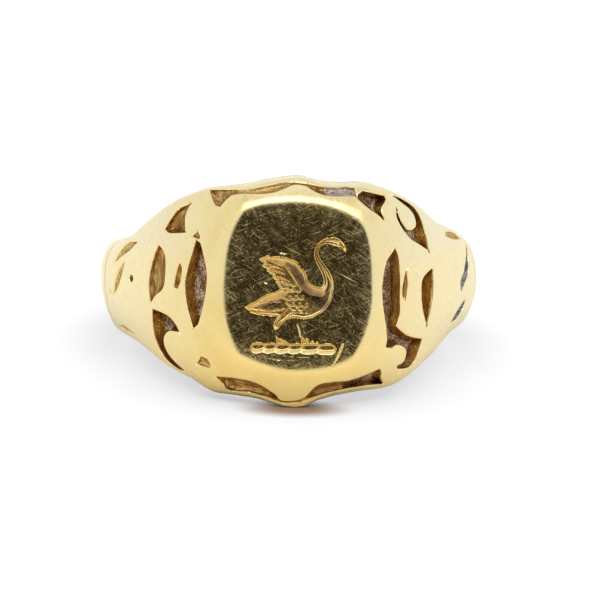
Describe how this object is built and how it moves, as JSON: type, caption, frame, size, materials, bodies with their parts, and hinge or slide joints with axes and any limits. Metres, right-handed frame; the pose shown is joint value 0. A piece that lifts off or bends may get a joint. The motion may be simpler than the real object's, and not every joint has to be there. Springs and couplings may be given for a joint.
{
  "type": "signet ring",
  "caption": "Gold signet ring with an oblong engraved table, scalloped edges and pierced shoulders over a plain inner liner.",
  "frame": {"origin": "centre of the finger hole, half way along it", "axes": "+Z along the finger hole, -Y out through the signet table, +X across the shoulders"},
  "size_m": [0.0208, 0.0217, 0.0125],
  "materials": {
    "gold_polished": "worn polish with fine scratches",
    "gold_recess": "matte, grainy and darkened",
    "solder": "dull grey solder"
  },
  "bodies": {
    "root": {"liner": "gold_recess", "signet_head": "gold_polished", "left_shoulder": "gold_polished", "right_shoulder": "gold_polished", "upper_edge_strip": "gold_polished", "lower_edge_strip": "gold_polished", "shank": "gold_polished", "solder_seam_left": "solder", "solder_seam_right": "solder"}
  },
  "joints": []
}
